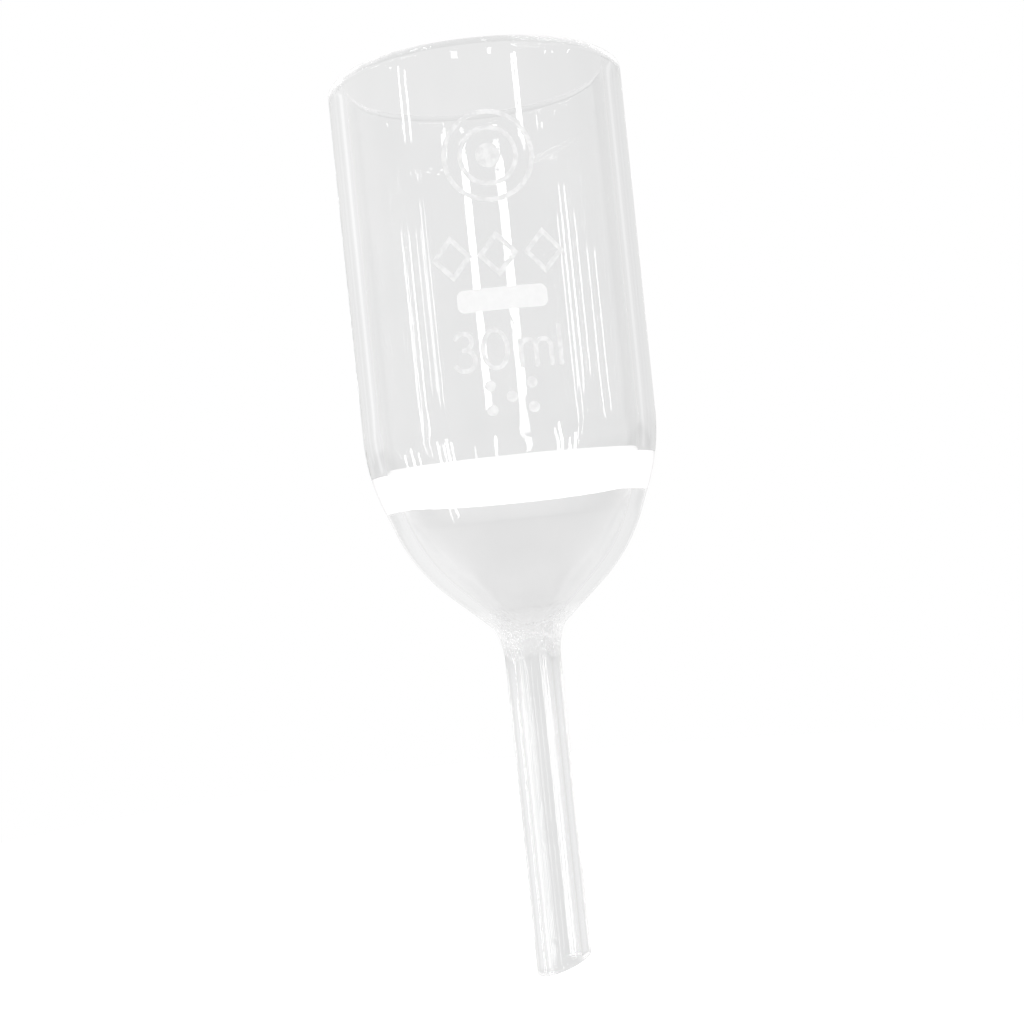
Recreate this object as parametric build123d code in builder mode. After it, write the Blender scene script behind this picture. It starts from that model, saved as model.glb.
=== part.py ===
from build123d import *
from math import cos, radians, tan
import os

# A filter funnel of clear borosilicate glass with a sintered disc fused across its bowl.
# Millimetres. +Z runs up the funnel's axis, and z = 0 is the lowest point of the stem's tip.
# -Y is the front, where the enamel prints are.

# Driving dimensions
RIM_Z = 104.2  # top of the fire-polished rim
BOWL_R = 17.0  # outside of the bowl tube
BOWL_WALL = 2.0
BOWL_BORE_R = BOWL_R - BOWL_WALL
RIM_ROUNDING = 0.9
SHOULDER_SEAL_Z = 63.8  # seal between the straight tube and the lower bowl

DISC_TOP_Z = 60.0
DISC_THICKNESS = 4.5
DISC_EDGE_ROUNDING = 0.7

NECK_SEAL_Z = 39.5  # seal between the lower bowl and the flared top of the stem
STEM_R = 3.25
STEM_BORE_R = 2.1
TIP_BEVEL = 17.0  # degrees; the tip is lowest on the -X side
TIP_ROUNDING = 0.35
BELOW_TIP = -2.0  # the stem is drawn down to here, then cut at the slant

ENAMEL = 0.05  # thickness of the fired prints
PRINT_X = 0.6  # the prints sit this far to the right of the front line
LINE_WIDTH = 0.5

# Corners of the wall's outside and inside lines below the straight tube, from the top down,
# as (radius from the axis, height) and the radius that rounds each corner.
OUTSIDE_CORNERS = [(BOWL_R, 59.55), (12.57, 48.0), (4.12, 40.4), (STEM_R, 38.3)]
OUTSIDE_ROUNDINGS = [23.0, 20.5, 1.0, 9.5]
INSIDE_CORNERS = [(BOWL_BORE_R, 59.9), (11.2, 48.9), (STEM_BORE_R, 40.7)]
INSIDE_ROUNDINGS = [21.0, 18.9, 2.5]


def draw_wall(mode=Mode.ADD):
    """Draw the half section of the whole glass wall, from the rim to past the tip, on the XZ plane."""
    with BuildLine() as outline:
        outside = FilletPolyline(
            [(BOWL_R, RIM_Z), *OUTSIDE_CORNERS, (STEM_R, BELOW_TIP)],
            radius=OUTSIDE_ROUNDINGS,
        )
        inside = FilletPolyline(
            [(BOWL_BORE_R, RIM_Z), *INSIDE_CORNERS, (STEM_BORE_R, BELOW_TIP)],
            radius=INSIDE_ROUNDINGS,
        )
        Line(outside @ 0, inside @ 0)
        Line(outside @ 1, inside @ 1)
    make_face(outline.edges(), mode=mode)


def draw_wall_between(bottom, top):
    """Draw the half section of the wall between two heights."""
    draw_wall()
    with Locations((0, bottom)):
        Rectangle(BOWL_R + 1, top - bottom, align=Align.MIN, mode=Mode.INTERSECT)


def front_plane(height):
    """A plane through the axis that faces the front, centred on a print at this height."""
    return Plane(origin=(PRINT_X, 0, height), x_dir=(1, 0, 0), z_dir=(0, -1, 0))


# The thin layer on the bowl's outer surface that every print is part of
with BuildPart() as enamel_layer:
    with BuildSketch(Plane.XY.offset(SHOULDER_SEAL_Z)):
        Circle(BOWL_R + ENAMEL)
        Circle(BOWL_R, mode=Mode.SUBTRACT)
    extrude(amount=RIM_Z - SHOULDER_SEAL_Z)


def lay_on_bowl():
    """Push the shapes just drawn out to the front and keep what lies in the enamel layer."""
    extrude(amount=BOWL_R + 1)
    add(enamel_layer.part, mode=Mode.INTERSECT)


# Bowl tube: straight wall with a rim rounded by the flame
with BuildPart() as bowl_tube:
    with BuildSketch(Plane.XZ) as tube_section:
        draw_wall_between(SHOULDER_SEAL_Z, RIM_Z)
        fillet(tube_section.vertices().group_by(Axis.Y)[-1], RIM_ROUNDING)
    revolve(axis=Axis.Z)

# Sintered disc: fills the wall where it starts to draw in, with its upper edge rounded
with BuildPart() as sintered_disc:
    with BuildSketch(Plane.XZ) as disc_section:
        with Locations((0, DISC_TOP_Z - DISC_THICKNESS)):
            Rectangle(BOWL_BORE_R, DISC_THICKNESS, align=Align.MIN)
        draw_wall(mode=Mode.SUBTRACT)
        upper_edge = disc_section.vertices().group_by(Axis.Y)[-1].sort_by(Axis.X)[-1]
        fillet(upper_edge, DISC_EDGE_ROUNDING)
    revolve(axis=Axis.Z)

# Lower bowl: round shoulder, cone and neck in one blown piece
with BuildPart() as lower_bowl:
    with BuildSketch(Plane.XZ):
        draw_wall_between(NECK_SEAL_Z, SHOULDER_SEAL_Z)
    revolve(axis=Axis.Z)

# Stem: thick-walled tube, flared at its top, cut at a slant and fire-polished at its tip
with BuildPart() as stem_tube:
    with BuildSketch(Plane.XZ):
        draw_wall_between(BELOW_TIP, NECK_SEAL_Z)
    revolve(axis=Axis.Z)
    slant = radians(TIP_BEVEL)
    rounding_lifts_tip = TIP_ROUNDING * (tan(slant) + 1 / cos(slant) - 1)
    bevel = Plane(origin=(-STEM_R, 0, -rounding_lifts_tip)).rotated((0, -TIP_BEVEL, 0))
    split(bisect_by=bevel, keep=Keep.TOP)
    fillet(stem_tube.faces().sort_by(Axis.Z)[0].edges(), TIP_ROUNDING)

# Emblem: a plain double ring round a dot
EMBLEM_Z = 91.4
with BuildPart() as emblem_rings:
    with BuildSketch(front_plane(EMBLEM_Z)):
        for ring_r in (4.9, 3.2):
            Circle(ring_r)
            Circle(ring_r - LINE_WIDTH, mode=Mode.SUBTRACT)
        Circle(1.3)
    lay_on_bowl()

# Row of three plain lozenges
LOZENGE_Z = 81.0
LOZENGE_WIDTH = 4.4
LOZENGE_HEIGHT = 4.9
LOZENGE_PITCH = 4.9
with BuildPart() as lozenge_row:
    with BuildSketch(front_plane(LOZENGE_Z)):
        with GridLocations(LOZENGE_PITCH, 0, 3, 1):
            for scale_of_line in (1.0, 0.68):
                half_w = scale_of_line * LOZENGE_WIDTH / 2
                half_h = scale_of_line * LOZENGE_HEIGHT / 2
                mode = Mode.ADD if scale_of_line == 1.0 else Mode.SUBTRACT
                Polygon((half_w, 0), (0, half_h), (-half_w, 0), (0, -half_h), mode=mode)
    lay_on_bowl()

# Writing patch: a rounded field for a pencil note
PATCH_Z = 76.3
with BuildPart() as writing_patch:
    with BuildSketch(front_plane(PATCH_Z)):
        RectangleRounded(9.6, 2.4, 0.75)
    lay_on_bowl()

# Capacity, 30 ml, in plain round-ended strokes
FIGURES_Z = 71.0
FIGURE_TOP = 2.0  # middle of the strokes at the top and the bottom, from the row's centre
THREE_X = -4.6
ZERO_X = -1.3
M_X = 1.4
L_X = 5.6
UPPER_BOWL_R = 0.9
LOWER_BOWL_R = FIGURE_TOP - UPPER_BOWL_R
ARCH_R = 0.8
ARCH_Y = -0.1
with BuildPart() as capacity_figures:
    with BuildSketch(front_plane(FIGURES_Z)):
        with BuildLine(mode=Mode.PRIVATE) as strokes:
            # The two open bowls of the 3 meet at the middle
            CenterArc((THREE_X, FIGURE_TOP - UPPER_BOWL_R), UPPER_BOWL_R, -90, 240)
            CenterArc((THREE_X, LOWER_BOWL_R - FIGURE_TOP), LOWER_BOWL_R, -150, 240)
            # The m has a stem and two arches, and the l is one stem
            Line((M_X, -FIGURE_TOP), (M_X, ARCH_Y + ARCH_R))
            for arch_left in (M_X, M_X + 2 * ARCH_R):
                arch_right = arch_left + 2 * ARCH_R
                CenterArc((arch_left + ARCH_R, ARCH_Y), ARCH_R, 0, 180)
                Line((arch_right, ARCH_Y), (arch_right, -FIGURE_TOP))
            Line((L_X, -FIGURE_TOP), (L_X, FIGURE_TOP))
        for stroke in strokes.edges():
            SlotArc(stroke, LINE_WIDTH)
        with Locations((ZERO_X, 0)):
            Ellipse(1.3 + LINE_WIDTH / 2, FIGURE_TOP + LINE_WIDTH / 2)
            Ellipse(1.3 - LINE_WIDTH / 2, FIGURE_TOP - LINE_WIDTH / 2, mode=Mode.SUBTRACT)
    lay_on_bowl()

# Porosity grade: five dots, set as on a die
DOTS_Z = 65.9
DOT_R = 0.6
with BuildPart() as grade_dots:
    with BuildSketch(front_plane(DOTS_Z)):
        Circle(DOT_R)
        with GridLocations(4.4, 2.6, 2, 2):
            Circle(DOT_R)
    lay_on_bowl()

pieces = {
    "bowl_tube": bowl_tube,
    "sintered_disc": sintered_disc,
    "lower_bowl": lower_bowl,
    "stem_tube": stem_tube,
    "emblem_rings": emblem_rings,
    "lozenge_row": lozenge_row,
    "writing_patch": writing_patch,
    "capacity_figures": capacity_figures,
    "grade_dots": grade_dots,
}
os.makedirs("parts", exist_ok=True)
for name, piece in pieces.items():
    piece.part.label = name
    export_step(piece.part, f"parts/{name}.step")
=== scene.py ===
import math

import bmesh
import bpy
from mathutils import Matrix, Vector, noise


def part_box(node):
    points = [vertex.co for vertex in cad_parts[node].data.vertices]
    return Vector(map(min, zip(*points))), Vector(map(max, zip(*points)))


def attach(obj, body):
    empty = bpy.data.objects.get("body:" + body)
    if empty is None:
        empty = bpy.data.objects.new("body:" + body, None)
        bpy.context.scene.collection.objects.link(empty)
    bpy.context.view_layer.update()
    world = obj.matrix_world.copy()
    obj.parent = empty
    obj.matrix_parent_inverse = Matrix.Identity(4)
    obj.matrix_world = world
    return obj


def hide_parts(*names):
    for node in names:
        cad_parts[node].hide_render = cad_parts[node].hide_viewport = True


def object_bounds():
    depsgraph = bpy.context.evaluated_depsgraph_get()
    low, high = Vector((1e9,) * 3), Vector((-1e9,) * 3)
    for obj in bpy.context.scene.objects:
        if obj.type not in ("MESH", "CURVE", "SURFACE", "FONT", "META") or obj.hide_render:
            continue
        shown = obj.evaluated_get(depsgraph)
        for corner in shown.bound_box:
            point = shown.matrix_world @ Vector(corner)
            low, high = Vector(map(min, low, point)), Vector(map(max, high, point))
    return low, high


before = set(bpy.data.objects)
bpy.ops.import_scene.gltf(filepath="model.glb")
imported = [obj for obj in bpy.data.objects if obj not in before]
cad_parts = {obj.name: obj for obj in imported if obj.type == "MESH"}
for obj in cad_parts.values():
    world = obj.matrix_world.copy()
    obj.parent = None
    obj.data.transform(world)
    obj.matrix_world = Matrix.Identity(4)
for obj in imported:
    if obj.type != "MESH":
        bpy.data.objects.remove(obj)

# A filter funnel of clear borosilicate glass with a sintered disc, in metres, in the packed
# model's frame: +Z is the funnel's axis, and -Y is its front. Three glass pieces and the disc
# replace their CAD nodes with finer meshes of the same shape, slightly uneven like worked glass.
# The enamel prints stay CAD nodes.

MM = 0.001
cad_low, cad_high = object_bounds()

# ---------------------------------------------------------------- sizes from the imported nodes

tube_low, tube_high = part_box("bowl_tube")
stem_low, stem_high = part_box("stem_tube")
disc_low, disc_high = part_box("sintered_disc")

RIM_Z = tube_high.z
SHOULDER_Z = tube_low.z
NECK_Z = stem_high.z
TIP_Z = stem_low.z
BOWL_R = (tube_high.x - tube_low.x) / 2
DISC_TOP = disc_high.z
DISC_BOTTOM = disc_low.z

# ---------------------------------------------------------------- the wall's half section

# As in the CAD source, in mm: corners below the straight tube as radius and height, each with the
# radius that rounds it
WALL = 2.0
STEM_R = 3.25
BORE_R = 2.1
OUTSIDE_CORNERS = [
    ((17.0, 59.55), 23.0),
    ((12.57, 48.0), 20.5),
    ((4.12, 40.4), 1.0),
    ((STEM_R, 38.3), 9.5),
]
INSIDE_CORNERS = [((15.0, 59.9), 21.0), ((11.2, 48.9), 18.9), ((BORE_R, 40.7), 2.5)]
TIP_BEVEL = math.radians(17.0)
TIP_ROUNDING = 0.35
DISC_EDGE_ROUNDING = 0.7

STRAIGHT_STEP = 1.2  # mm between rows on straight runs
ARC_STEP = 0.4  # and on arcs
RIM_STEPS = 14
TIP_STEPS = 5
ROUND = 288  # steps round the axis
FIRST_NECK_ROW = 36.45  # mm; rows lie closer at the neck, for the lumps of the fused joint
NECK_ROW_STEP = 0.3
NECK_ROWS = 20
SAME_HEIGHT = 1e-7  # metres


def go_straight(points, end):
    start = points[-1]
    count = max(1, math.ceil((end - start).length / STRAIGHT_STEP))
    for k in range(1, count + 1):
        points.append(start.lerp(end, k / count))


def turn_corner(points, before, corner, after, rounding):
    """Go straight to the arc that rounds a corner, then round it."""
    back = (before - corner).normalized()
    ahead = (after - corner).normalized()
    half = back.angle(ahead) / 2
    centre = corner + (back + ahead).normalized() * (rounding / math.sin(half))
    reach = rounding / math.tan(half)
    go_straight(points, corner + back * reach)
    turn = math.pi - 2 * half
    first, last = points[-1] - centre, corner + ahead * reach - centre
    count = max(4, math.ceil(turn * rounding / ARC_STEP))
    for k in range(1, count + 1):
        share = turn * k / count
        spoke = first * math.sin(turn - share) + last * math.sin(share)
        points.append(centre + spoke / math.sin(turn))


def outline(top, corners, bottom):
    """Points down one side of the wall, in mm, as (radius, height)."""
    points = [Vector(top)]
    stops = [Vector(top), *(Vector(place) for place, _ in corners), Vector(bottom)]
    for i, (_, rounding) in enumerate(corners):
        turn_corner(points, stops[i], stops[i + 1], stops[i + 2], rounding)
    go_straight(points, stops[-1])
    return points


def add_height(points, height):
    """Put a point at a height into a line that runs down."""
    for i in range(len(points) - 1):
        upper, lower = points[i], points[i + 1]
        if upper.y > height > lower.y:
            share = (upper.y - height) / (upper.y - lower.y)
            points.insert(i + 1, upper.lerp(lower, share))
            return


def arc(centre, radius, first, last, count):
    """Points on an arc, from one angle in degrees to another."""
    angles = [math.radians(first + (last - first) * k / count) for k in range(count + 1)]
    x, y = centre
    return [Vector((x + radius * math.cos(a), y + radius * math.sin(a))) for a in angles]


bowl_r = BOWL_R / MM
rim_r = WALL / 2
rim_start = RIM_Z / MM - rim_r
outside = outline((bowl_r, rim_start), OUTSIDE_CORNERS, (STEM_R, TIP_ROUNDING))
inside = outline((bowl_r - 2 * rim_r, rim_start), INSIDE_CORNERS, (BORE_R, TIP_ROUNDING))
for seam in (SHOULDER_Z, NECK_Z):
    add_height(outside, seam / MM)
    add_height(inside, seam / MM)
for height in (DISC_TOP, DISC_BOTTOM):
    add_height(inside, height / MM)
for row in range(NECK_ROWS):
    for side in (inside, outside):
        add_height(side, FIRST_NECK_ROW + NECK_ROW_STEP * row)

rim = arc((bowl_r - rim_r, rim_start), rim_r, 180, 0, RIM_STEPS)
tip_outside = arc((STEM_R - TIP_ROUNDING, TIP_ROUNDING), TIP_ROUNDING, 0, -90, TIP_STEPS)
tip_inside = arc((BORE_R + TIP_ROUNDING, TIP_ROUNDING), TIP_ROUNDING, 270, 180, TIP_STEPS)

# Once round the section: up the inside, over the rim, down the outside and round the tip
section = inside[:0:-1] + rim + outside[1:] + tip_outside[1:] + tip_inside[:-1]
section = [point * MM for point in section]

# ---------------------------------------------------------------- glass meshes

# Unevenness of the worked glass: its size in mm, how fast it changes along the axis, how finely
# round it, and a seed
FINE_LINES = (0.006, 0.04, 14, 3)
BROAD_LINES = (0.02, 0.15, 1.5, 9)
COARSE_LUMPS = (0.14, 4, 3, 17)
FINE_LUMPS = (0.10, 8, 4.5, 31)
RIM_BENDS = (0.035, 2, 13, 23)
SHOULDER_WAVES = (0.085, 2, 5, 41)
NOISE_HEIGHT = 6  # mm up the axis for one step of the noise

NECK_LUMP_Z = 39.6 * MM
LUMP_REACH = 2.1 * MM
RIM_BEND_REACH = 1.1 * MM
SHOULDER_WAVE_Z = 63.7 * MM
WAVE_REACH = 2.6 * MM
LINES_OUTSIDE = 0.25  # how much of the inside's lines shows on the outside
LUMPS_OUTSIDE = 0.3  # and of its lumps
BEVEL_REACH = 6 * MM  # the slant of the tip runs out this far up the stem


def uneven(kind, angle, height):
    """Smooth noise round the funnel, in mm, of one kind of unevenness."""
    size, along, finely, seed = kind
    up_axis = height * along * 1000 / NOISE_HEIGHT + seed
    return size * noise.noise(Vector((math.cos(angle) * finely, math.sin(angle) * finely, up_axis)))


def near(height, centre, reach):
    """1 at a height and less and less away from it."""
    return math.exp(-(((height - centre) / reach) ** 2))


def glass_point(radius, height, angle, inner):
    """Where a point of the section goes at an angle, with the tip slanted and the glass uneven."""
    lines = uneven(FINE_LINES, angle, height) * min(1.0, radius / BOWL_R)
    lines += uneven(BROAD_LINES, angle, height)
    lumps = uneven(COARSE_LUMPS, angle, height) + uneven(FINE_LUMPS, angle, height)
    lumps *= near(height, NECK_LUMP_Z, LUMP_REACH)
    if not inner:
        lines *= LINES_OUTSIDE
        lumps *= LUMPS_OUTSIDE
    at_front_and_back = math.sin(angle) ** 2
    bends = uneven(RIM_BENDS, angle, height) * near(height, RIM_Z, RIM_BEND_REACH)
    waves = uneven(SHOULDER_WAVES, angle, height) * near(height, SHOULDER_WAVE_Z, WAVE_REACH)
    r = radius + (lines + lumps + bends + waves * at_front_and_back) * MM
    slanted = max(0.0, 1 - height / BEVEL_REACH)
    lift = TIP_ROUNDING * MM * (1 + math.tan(TIP_BEVEL) - 1 / math.cos(TIP_BEVEL))
    x = r * math.cos(angle)
    z = height + slanted * ((x + STEM_R * MM) * math.tan(TIP_BEVEL) - lift)
    return Vector((x, r * math.sin(angle), z))


def whole_wall():
    """The points of the whole wall, and their normals, taken before it is parted at its seams."""
    count = len(section)
    points = []
    for i in range(ROUND):
        angle = 2 * math.pi * i / ROUND
        for k, (radius, height) in enumerate(section):
            points.append(glass_point(radius, height, angle, k < len(inside)))
    faces = []
    for i in range(ROUND):
        here, ahead = i * count, (i + 1) % ROUND * count
        for k in range(count):
            m = (k + 1) % count
            faces.append((here + k, here + m, ahead + m, ahead + k))
    mesh = bpy.data.meshes.new("whole_wall")
    mesh.from_pydata(points, [], faces)
    mesh.update()
    normals = [vertex.normal.copy() for vertex in mesh.vertices]
    bpy.data.meshes.remove(mesh)
    return points, normals


wall_points, wall_normals = whole_wall()


def seam_ends(height):
    """The inside and outside points of the section at a seam."""
    level = [k for k, point in enumerate(section) if abs(point.y - height) < SAME_HEIGHT]
    return level[0], level[-1]


def wall_piece(name, low, high, seams):
    """The part of the wall between two heights, closed at its seams with flat faces."""
    count = len(section)
    bottom, top = low - SAME_HEIGHT, high + SAME_HEIGHT
    taken = {k for k, point in enumerate(section) if bottom < point.y < top}
    number = {}
    faces, normals, seam_faces = [], [], []

    def corner(i, k):
        key = i % ROUND * count + k
        return number.setdefault(key, len(number)), wall_normals[key]

    for i in range(ROUND):
        for k in range(count):
            m = (k + 1) % count
            if k in taken and m in taken:
                loop = [corner(i, k), corner(i, m), corner(i + 1, m), corner(i + 1, k)]
                faces.append([index for index, _ in loop])
                normals += [normal for _, normal in loop]
        for height in seams:
            k, m = seam_ends(height)
            facing = Vector((0, 0, 1 if height == high else -1))
            loop = [corner(i, k)[0], corner(i, m)[0], corner(i + 1, m)[0], corner(i + 1, k)[0]]
            seam_faces.append(len(faces))
            faces.append(loop if height == high else loop[::-1])
            normals += [facing] * 4
    mesh = bpy.data.meshes.new(name)
    mesh.from_pydata([wall_points[key] for key in number], [], faces)
    mesh.polygons.foreach_set("use_smooth", [True] * len(faces))
    mesh.materials.append(clear_glass)
    mesh.materials.append(fused_seam)
    for index in seam_faces:
        mesh.polygons[index].material_index = 1
    mesh.normals_split_custom_set(normals)
    piece = bpy.data.objects.new(name, mesh)
    bpy.context.scene.collection.objects.link(piece)
    return piece


# ---------------------------------------------------------------- materials

GLASS_IOR = 1.473
SMEAR_TINT = (0.965, 0.967, 0.968)
RIPPLES_PER_METRE = 2200
RIPPLE_DEPTH = 0.2 * MM
RIM_RIPPLES = 0.4  # of the ripples at the neck
GRAINS_PER_METRE = 5200
PIT_DEPTH = 0.03 * MM
GRAIN_LIGHT = (0.985, 0.975, 0.975)
GRAIN_DARK = (0.95, 0.935, 0.94)
ENAMEL_PATCHES_PER_METRE = 1500
ENAMEL_DEPTH = 0.01 * MM


def link(nt, source, target):
    nt.links.new(source, target)


def new_material(name):
    mat = bpy.data.materials.new(name)
    mat.use_nodes = True
    nt = mat.node_tree
    nt.nodes.clear()
    out = nt.nodes.new("ShaderNodeOutputMaterial")
    return mat, nt, out


def noise_node(nt, scale, detail=3.0, roughness=0.5, stretch=(1, 1, 1)):
    """Noise over the object's own coordinates, with scale in features per metre."""
    coords = nt.nodes.new("ShaderNodeTexCoord")
    mapping = nt.nodes.new("ShaderNodeMapping")
    mapping.inputs["Scale"].default_value = stretch
    texture = nt.nodes.new("ShaderNodeTexNoise")
    texture.inputs["Scale"].default_value = scale
    texture.inputs["Detail"].default_value = detail
    texture.inputs["Roughness"].default_value = roughness
    link(nt, coords.outputs["Object"], mapping.inputs["Vector"])
    link(nt, mapping.outputs["Vector"], texture.inputs["Vector"])
    return texture.outputs["Fac"]


def span(nt, value, low, high, to_low, to_high):
    """Map a value that runs from low to high onto another range, and hold it there."""
    node = nt.nodes.new("ShaderNodeMapRange")
    node.inputs["From Min"].default_value = low
    node.inputs["From Max"].default_value = high
    node.inputs["To Min"].default_value = to_low
    node.inputs["To Max"].default_value = to_high
    link(nt, value, node.inputs["Value"])
    return node.outputs["Result"]


def math_node(nt, operation, first, second=None):
    node = nt.nodes.new("ShaderNodeMath")
    node.operation = operation
    for socket, value in zip(node.inputs, (first, second)):
        if isinstance(value, (int, float)):
            socket.default_value = value
        elif value is not None:
            link(nt, value, socket)
    return node.outputs[0]


def window(nt, value, centre, half, soft):
    """1 within half of centre, fading to 0 over soft."""
    away = math_node(nt, "ABSOLUTE", math_node(nt, "SUBTRACT", value, centre))
    node = nt.nodes.new("ShaderNodeMapRange")
    node.interpolation_type = "SMOOTHSTEP"
    node.inputs["From Min"].default_value = half
    node.inputs["From Max"].default_value = half + soft
    node.inputs["To Min"].default_value = 1.0
    node.inputs["To Max"].default_value = 0.0
    link(nt, away, node.inputs["Value"])
    return node.outputs["Result"]


def blend_colours(nt, factor, first, second):
    node = nt.nodes.new("ShaderNodeMix")
    node.data_type = "RGBA"
    node.inputs["A"].default_value = (*first, 1)
    node.inputs["B"].default_value = (*second, 1)
    link(nt, factor, node.inputs["Factor"])
    return node.outputs["Result"]


def bump(nt, height, distance, strength=1.0):
    node = nt.nodes.new("ShaderNodeBump")
    node.inputs["Strength"].default_value = strength
    node.inputs["Distance"].default_value = distance
    link(nt, height, node.inputs["Height"])
    return node.outputs["Normal"]


def fused_ripples(nt):
    """Fine ripples that the flame left along the rim and round the neck."""
    coords = nt.nodes.new("ShaderNodeTexCoord")
    parts = nt.nodes.new("ShaderNodeSeparateXYZ")
    link(nt, coords.outputs["Object"], parts.inputs[0])
    height = parts.outputs["Z"]
    in_places = span(nt, noise_node(nt, scale=70, detail=1), 0.48, 0.58, 0.15, 1.0)
    at_rim = window(nt, height, centre=RIM_Z, half=0.9 * MM, soft=0.6 * MM)
    at_rim = math_node(nt, "MULTIPLY", at_rim, RIM_RIPPLES)
    at_rim = math_node(nt, "MULTIPLY", at_rim, in_places)
    at_neck = window(nt, height, centre=NECK_LUMP_Z, half=1.6 * MM, soft=1.4 * MM)
    share = math_node(nt, "ADD", at_rim, at_neck)
    fine = noise_node(nt, scale=RIPPLES_PER_METRE, detail=2)
    ripples = math_node(nt, "MULTIPLY", share, fine)
    return bump(nt, ripples, RIPPLE_DEPTH)


def make_glass():
    """Clear borosilicate glass with faint cloudy smears. Light for matt surfaces goes straight in."""
    mat, nt, out = new_material("clear_borosilicate")
    glass = nt.nodes.new("ShaderNodeBsdfPrincipled")
    glass.inputs["Transmission Weight"].default_value = 1.0
    glass.inputs["IOR"].default_value = GLASS_IOR
    cloud = noise_node(nt, scale=90, detail=4, roughness=0.6, stretch=(1, 1, 0.6))
    tint = blend_colours(nt, span(nt, cloud, 0.35, 0.7, 0, 1), (1, 1, 1), SMEAR_TINT)
    link(nt, tint, glass.inputs["Base Color"])
    breath = noise_node(nt, scale=160, roughness=0.6)
    link(nt, span(nt, breath, 0.5, 0.75, 0.0, 0.012), glass.inputs["Roughness"])
    link(nt, fused_ripples(nt), glass.inputs["Normal"])
    path = nt.nodes.new("ShaderNodeLightPath")
    clear = nt.nodes.new("ShaderNodeBsdfTransparent")
    mix = nt.nodes.new("ShaderNodeMixShader")
    link(nt, path.outputs["Is Diffuse Ray"], mix.inputs[0])
    link(nt, glass.outputs[0], mix.inputs[1])
    link(nt, clear.outputs[0], mix.inputs[2])
    link(nt, mix.outputs[0], out.inputs["Surface"])
    return mat


def make_seam():
    """The face where two pieces of glass are fused together, which doesn't show."""
    mat, nt, out = new_material("fused_seam")
    clear = nt.nodes.new("ShaderNodeBsdfTransparent")
    link(nt, clear.outputs[0], out.inputs["Surface"])
    return mat


clear_glass = make_glass()
fused_seam = make_seam()


def make_frit():
    """Sintered glass grains: near white, matt and pitted."""
    mat, nt, out = new_material("sintered_grains")
    coords = nt.nodes.new("ShaderNodeTexCoord")
    grains = nt.nodes.new("ShaderNodeTexVoronoi")
    grains.inputs["Scale"].default_value = GRAINS_PER_METRE
    link(nt, coords.outputs["Object"], grains.inputs["Vector"])
    sinter = nt.nodes.new("ShaderNodeBsdfPrincipled")
    cloud = span(nt, noise_node(nt, scale=260, detail=4, roughness=0.6), 0.35, 0.65, 0, 1)
    link(nt, blend_colours(nt, cloud, GRAIN_LIGHT, GRAIN_DARK), sinter.inputs["Base Color"])
    link(nt, span(nt, noise_node(nt, scale=900), 0.3, 0.7, 0.75, 0.95), sinter.inputs["Roughness"])
    link(nt, bump(nt, grains.outputs["Distance"], PIT_DEPTH, strength=0.6), sinter.inputs["Normal"])
    link(nt, sinter.outputs[0], out.inputs["Surface"])
    return mat


def make_enamel(name, full, thin):
    """Fired white enamel, greyer where the screen left it thin and the glass shows through."""
    mat, nt, out = new_material(name)
    enamel = nt.nodes.new("ShaderNodeBsdfPrincipled")
    blotches = noise_node(nt, scale=ENAMEL_PATCHES_PER_METRE, detail=4, roughness=0.6)
    tone = blend_colours(nt, span(nt, blotches, 0.4, 0.62, 0, 1), thin, full)
    link(nt, tone, enamel.inputs["Base Color"])
    dullness = noise_node(nt, scale=ENAMEL_PATCHES_PER_METRE, detail=2)
    link(nt, span(nt, dullness, 0.3, 0.7, 0.5, 0.75), enamel.inputs["Roughness"])
    grit = noise_node(nt, scale=6000, detail=2)
    link(nt, bump(nt, grit, ENAMEL_DEPTH, strength=0.3), enamel.inputs["Normal"])
    link(nt, enamel.outputs[0], out.inputs["Surface"])
    return mat


frit_grains = make_frit()
line_enamel = make_enamel("line_enamel", (0.76, 0.76, 0.76), (0.67, 0.67, 0.67))
patch_enamel = make_enamel("patch_enamel", (0.785, 0.785, 0.785), (0.765, 0.765, 0.765))

# ---------------------------------------------------------------- pieces


def place(piece, slot, *nodes):
    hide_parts(*nodes)
    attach(piece, "root")


bowl = wall_piece("clear_bowl", SHOULDER_Z, RIM_Z, [SHOULDER_Z])
place(bowl, "clear_glass", "bowl_tube")
cone = wall_piece("clear_lower_bowl", NECK_Z, SHOULDER_Z, [NECK_Z, SHOULDER_Z])
place(cone, "clear_glass", "lower_bowl")
stem = wall_piece("clear_stem", TIP_Z, NECK_Z, [NECK_Z])
place(stem, "clear_glass", "stem_tube")

FUSED_DEPTH = 0.07  # mm that the disc's grains sink into the wall
DISC_STEPS = 30  # from the axis to the disc's edge
DISC_EDGE_STEPS = 6
GRAIN_SIZE = 0.02 * MM  # how far the grains stand up
GRAIN_LUMPS_PER_METRE = 1800


def disc_section():
    """The disc's half section, from the top's centre round to the bottom's, in mm."""
    high, low = DISC_TOP / MM, DISC_BOTTOM / MM
    edge_z = high - DISC_EDGE_ROUNDING
    wall_side = [point for point in inside if low - SAME_HEIGHT / MM < point.y < edge_z]
    side = [Vector((point.x + FUSED_DEPTH, point.y)) for point in wall_side]
    top_r = side[0].x - DISC_EDGE_ROUNDING
    edge = arc((top_r, edge_z), DISC_EDGE_ROUNDING, 90, 0, DISC_EDGE_STEPS)
    top = [Vector((top_r * k / DISC_STEPS, high)) for k in range(DISC_STEPS)]
    bottom_r = side[-1].x
    bottom = [Vector((bottom_r * (1 - k / DISC_STEPS), low)) for k in range(1, DISC_STEPS + 1)]
    return top + edge + side[1:] + bottom


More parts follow.
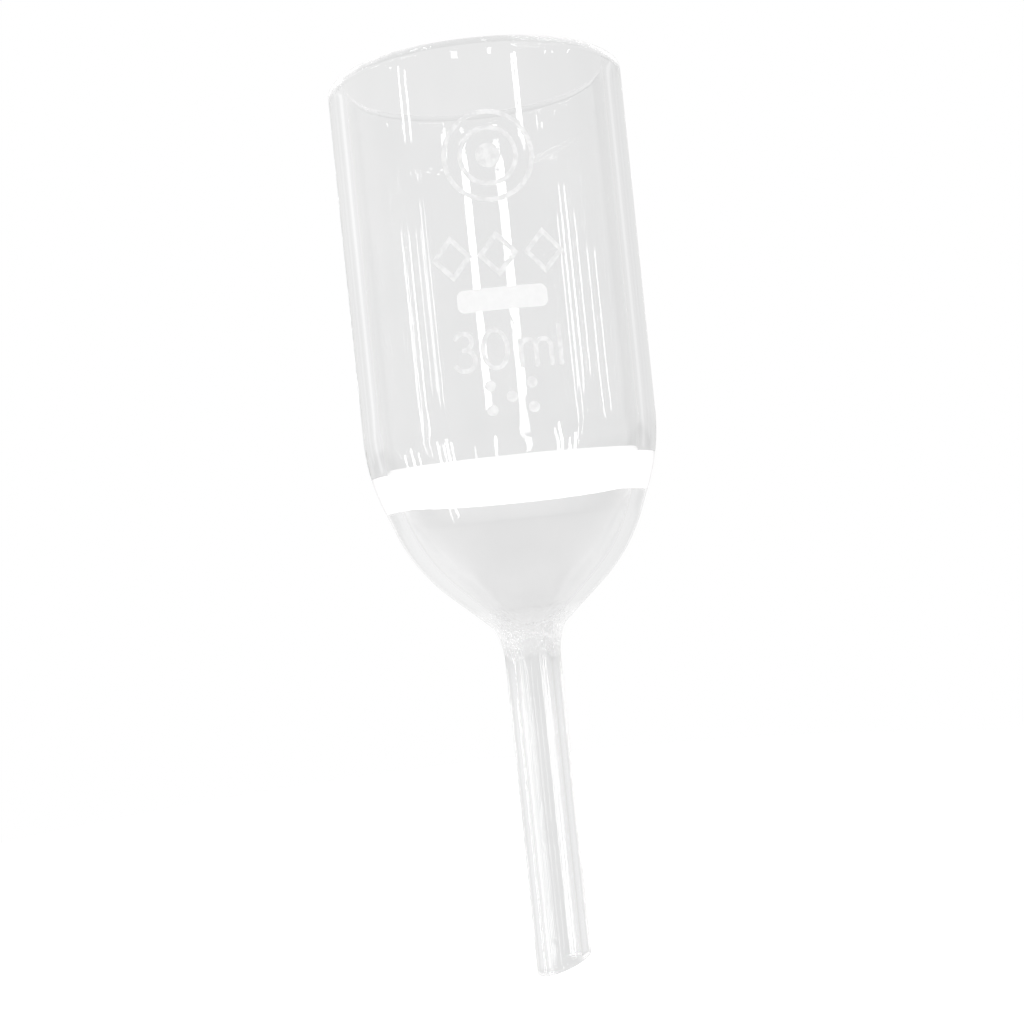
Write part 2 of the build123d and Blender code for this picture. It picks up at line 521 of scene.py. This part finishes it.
def make_disc():
    line = [point * MM for point in disc_section()]
    count = len(line)
    points, faces = [], []
    for i in range(ROUND):
        angle = 2 * math.pi * i / ROUND
        x, y = math.cos(angle), math.sin(angle)
        points += [Vector((radius * x, radius * y, height)) for radius, height in line]
        here, ahead = i * count, (i + 1) % ROUND * count
        for k in range(count - 1):
            faces.append((here + k, here + k + 1, ahead + k + 1, ahead + k))
    mesh = bpy.data.meshes.new("frit")
    mesh.from_pydata(points, [], faces)
    bm = bmesh.new()
    bm.from_mesh(mesh)
    bmesh.ops.remove_doubles(bm, verts=bm.verts, dist=1e-6)
    bmesh.ops.recalc_face_normals(bm, faces=bm.faces)
    for vertex in bm.verts:
        vertex.co.z += noise.noise(vertex.co * GRAIN_LUMPS_PER_METRE) * GRAIN_SIZE
    bm.to_mesh(mesh)
    bm.free()
    mesh.polygons.foreach_set("use_smooth", [True] * len(mesh.polygons))
    mesh.materials.append(frit_grains)
    piece = bpy.data.objects.new("frit", mesh)
    bpy.context.scene.collection.objects.link(piece)
    return piece


frit = make_disc()
place(frit, "sintered_glass", "sintered_disc")

PRINTS = ("emblem_rings", "lozenge_row", "capacity_figures", "grade_dots", "writing_patch")
for name in PRINTS:
    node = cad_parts[name]
    node.data.materials.clear()
    node.data.materials.append(patch_enamel if name == "writing_patch" else line_enamel)

# ---------------------------------------------------------------- floor

FLOOR_R = 160 * MM
FLOOR_STEPS = 96
FLOOR_GAP = 0.02 * MM
FLOOR_LIGHT = (0.96, 0.96, 0.96)
FLOOR_DARK = (0.94, 0.94, 0.94)
FLOOR_GLOW = 0.35


def make_floor():
    """A plain pale floor, clear from below, that the glass doesn't show."""
    bm = bmesh.new()
    bmesh.ops.create_circle(bm, cap_ends=True, segments=FLOOR_STEPS, radius=FLOOR_R)
    mesh = bpy.data.meshes.new("floor")
    bm.to_mesh(mesh)
    bm.free()
    floor = bpy.data.objects.new("floor", mesh)
    floor.location.z = cad_low.z - FLOOR_GAP
    bpy.context.scene.collection.objects.link(floor)
    mat, nt, out = new_material("pale_floor")
    pale = nt.nodes.new("ShaderNodeBsdfPrincipled")
    tone = blend_colours(nt, noise_node(nt, scale=30), FLOOR_LIGHT, FLOOR_DARK)
    link(nt, tone, pale.inputs["Base Color"])
    pale.inputs["Roughness"].default_value = 1.0
    pale.inputs["Specular IOR Level"].default_value = 0.0
    pale.inputs["Emission Color"].default_value = (1, 1, 1, 1)
    pale.inputs["Emission Strength"].default_value = FLOOR_GLOW
    under = nt.nodes.new("ShaderNodeNewGeometry")
    clear = nt.nodes.new("ShaderNodeBsdfTransparent")
    mix = nt.nodes.new("ShaderNodeMixShader")
    link(nt, under.outputs["Backfacing"], mix.inputs[0])
    link(nt, pale.outputs[0], mix.inputs[1])
    link(nt, clear.outputs[0], mix.inputs[2])
    link(nt, mix.outputs[0], out.inputs["Surface"])
    mesh.materials.append(mat)
    floor.visible_transmission = False
    floor.visible_glossy = False


make_floor()

# ---------------------------------------------------------------- studio light

# Brightness of what surrounds the glass. Slopes are rise over run, seen from the funnel.
ROOM = 0.83
SIDE_SHADE = 0.05  # the room is this much darker on the right, and lighter on the left
CEILING = 0.95
CEILING_SLOPES = (1.2, 2.0)  # the room turns into the ceiling between these
TABLE = 0.45
TABLE_SLOPES = (-1.8, -0.9)  # and the table into the room between these
DUSK = 0.11  # how much darker a band round eye level is
DUSK_BELOW = (-0.14, 0.0)
DUSK_ABOVE = (0.015, 0.05)
MATT_LIGHT = 1.16  # what falls on the matt surfaces

EYE_Z = 53.0  # mm; about the camera's height
FRONT_Y = 163.0  # mm from the camera to the bowl's front
WIDE_BOX = 5.0  # degrees; wider boxes and screens fade out softly
NARROW_FADE = 0.4  # degrees, of the others
WIDE_SLOPE_FADE = 0.05
NARROW_SLOPE_FADE = 0.006

# Soft boxes, dark screens and lamps: azimuth and width in degrees (0 is behind the camera, 90 to
# its right), the heights on the bowl's straight front between which each shows in the photo's view,
# and what it adds to the room
SOFT_BOXES = [
    (-14.2, 4.0, 64.0, 91.5, 14),
    (14.4, 2.0, 66.7, 89.6, 14),
    (-58.5, 1.0, 93.5, 102.5, 12),
    (32.5, 1.6, 91.5, 103.0, 14),
    (-70.5, 0.8, 61.5, 83.0, 10),
    (62.0, 0.7, 65.0, 86.0, 10),
    (69.0, 0.6, 67.0, 83.0, 10),
    (85.0, 0.7, 62.0, 79.0, 8),
    (139.5, 4.0, 46.0, 110.0, 0.10),
    (-139.5, 4.0, 46.0, 110.0, 0.14),
    (155.0, 8.0, 50.0, 120.0, -0.06),
    (-155.0, 8.0, 50.0, 120.0, -0.03),
    (100.0, 20.0, 50.0, 120.0, -0.09),
    (-100.0, 20.0, 50.0, 120.0, -0.05),
    (148.0, 28.0, -80.0, 32.0, 0.06),
    (-148.0, 28.0, -80.0, 32.0, 0.05),
    (177.5, 5.5, -80.0, 32.0, -0.05),
    (-177.5, 5.5, -80.0, 32.0, -0.05),
    # Narrow lamps low down, for the stem's streaks and the short strokes by the disc
    (40.0, 1.6, -3.0, 40.0, 18),
    (51.0, 1.6, -3.0, 35.0, 18),
    (-50.0, 1.6, -35.0, 43.0, 9),
    (-58.0, 1.6, -42.0, 40.0, 9),
    (-65.0, 1.6, -42.0, -14.0, 9),
    (-72.0, 1.6, -38.0, -14.0, 9),
    (-84.0, 1.6, -12.0, 37.0, 9),
    (-92.0, 1.6, -12.0, 33.0, 9),
    (-12.5, 1.2, -15.0, 36.0, 5),
]


def add_box(nt, total, azimuth, rise, box):
    """Add one soft box, screen or lamp to the brightness of the surroundings."""
    turn, width, low, high, added = box
    wide = width > WIDE_BOX
    fade = width / 2 if wide else NARROW_FADE
    slope_low, slope_high = (low - EYE_Z) / FRONT_Y, (high - EYE_Z) / FRONT_Y
    middle, half = (slope_low + slope_high) / 2, (slope_high - slope_low) / 2
    slope_fade = WIDE_SLOPE_FADE if wide else NARROW_SLOPE_FADE
    centre, half_width = math.radians(turn), math.radians(width / 2)
    across = window(nt, azimuth, centre, half_width, math.radians(fade))
    along = window(nt, rise, middle, half, slope_fade)
    shape = math_node(nt, "MULTIPLY", across, along)
    return math_node(nt, "ADD", total, math_node(nt, "MULTIPLY", shape, added))


def make_world():
    """White behind the funnel, a grey room with lamps in the glass, even light on what is matt."""
    world = bpy.data.worlds.new("studio")
    bpy.context.scene.world = world
    world.use_nodes = True
    nt = world.node_tree
    nt.nodes.clear()
    out = nt.nodes.new("ShaderNodeOutputWorld")
    coords = nt.nodes.new("ShaderNodeTexCoord")
    parts = nt.nodes.new("ShaderNodeSeparateXYZ")
    link(nt, coords.outputs["Generated"], parts.inputs[0])
    x, y, z = parts.outputs
    azimuth = math_node(nt, "ARCTAN2", x, math_node(nt, "MULTIPLY", y, -1))
    flat = math_node(nt, "SQRT", math_node(nt, "SUBTRACT", 1.0, math_node(nt, "MULTIPLY", z, z)))
    rise = math_node(nt, "DIVIDE", z, math_node(nt, "MAXIMUM", flat, 0.001))
    overhead = span(nt, rise, *CEILING_SLOPES, ROOM, CEILING)
    total = math_node(nt, "SUBTRACT", overhead, math_node(nt, "MULTIPLY", x, SIDE_SHADE))
    dusk_starts = span(nt, rise, *DUSK_BELOW, 0.0, 1.0)
    dusk_ends = span(nt, rise, *DUSK_ABOVE, 1.0, 0.0)
    dusk = math_node(nt, "MULTIPLY", dusk_starts, dusk_ends)
    total = math_node(nt, "SUBTRACT", total, math_node(nt, "MULTIPLY", dusk, DUSK))
    table = span(nt, rise, *TABLE_SLOPES, ROOM - TABLE, 0.0)
    total = math_node(nt, "SUBTRACT", total, table)
    for box in SOFT_BOXES:
        total = add_box(nt, total, azimuth, rise, box)
    path = nt.nodes.new("ShaderNodeLightPath")
    matt = math_node(nt, "GREATER_THAN", path.outputs["Diffuse Depth"], 0.5)
    share = nt.nodes.new("ShaderNodeMix")
    link(nt, matt, share.inputs["Factor"])
    link(nt, total, share.inputs["A"])
    share.inputs["B"].default_value = MATT_LIGHT
    room = nt.nodes.new("ShaderNodeBackground")
    link(nt, share.outputs["Result"], room.inputs["Strength"])
    room.inputs["Color"].default_value = (1, 1, 1, 1)
    white = nt.nodes.new("ShaderNodeBackground")
    white.inputs["Color"].default_value = (1, 1, 1, 1)
    mix = nt.nodes.new("ShaderNodeMixShader")
    link(nt, path.outputs["Is Camera Ray"], mix.inputs[0])
    link(nt, room.outputs[0], mix.inputs[1])
    link(nt, white.outputs[0], mix.inputs[2])
    link(nt, mix.outputs[0], out.inputs["Surface"])
    world.cycles.sampling_method = "NONE"


make_world()

# ---------------------------------------------------------------- camera

DISTANCE = 180.0 * MM
LEAN = math.radians(5.88)  # the photo shows the funnel leaning to the left at the top
LENS = 54.43
STAND_LEFT = 0.78 * MM  # of the axis, in the picture
STAND_UP = 0.70 * MM
GLASS_BOUNCES = 96

right = Vector((math.cos(LEAN), 0, -math.sin(LEAN)))
up = Vector((math.sin(LEAN), 0, math.cos(LEAN)))
camera_data = bpy.data.cameras.new("camera")
camera_data.sensor_width = 36
camera_data.lens = LENS
camera_data.clip_start = 0.001
camera = bpy.data.objects.new("camera", camera_data)
bpy.context.scene.collection.objects.link(camera)
stand = Vector((0, -DISTANCE, EYE_Z * MM)) - right * STAND_LEFT + up * STAND_UP
facing = Matrix((right, up, Vector((0, -1, 0)))).transposed().to_4x4()
camera.matrix_world = Matrix.Translation(stand) @ facing
bpy.context.scene.camera = camera

scene = bpy.context.scene
scene.view_settings.view_transform = "Standard"
scene.cycles.max_bounces = GLASS_BOUNCES
scene.cycles.transmission_bounces = GLASS_BOUNCES
scene.cycles.glossy_bounces = GLASS_BOUNCES
scene.cycles.diffuse_bounces = 6
scene.cycles.transparent_max_bounces = 32
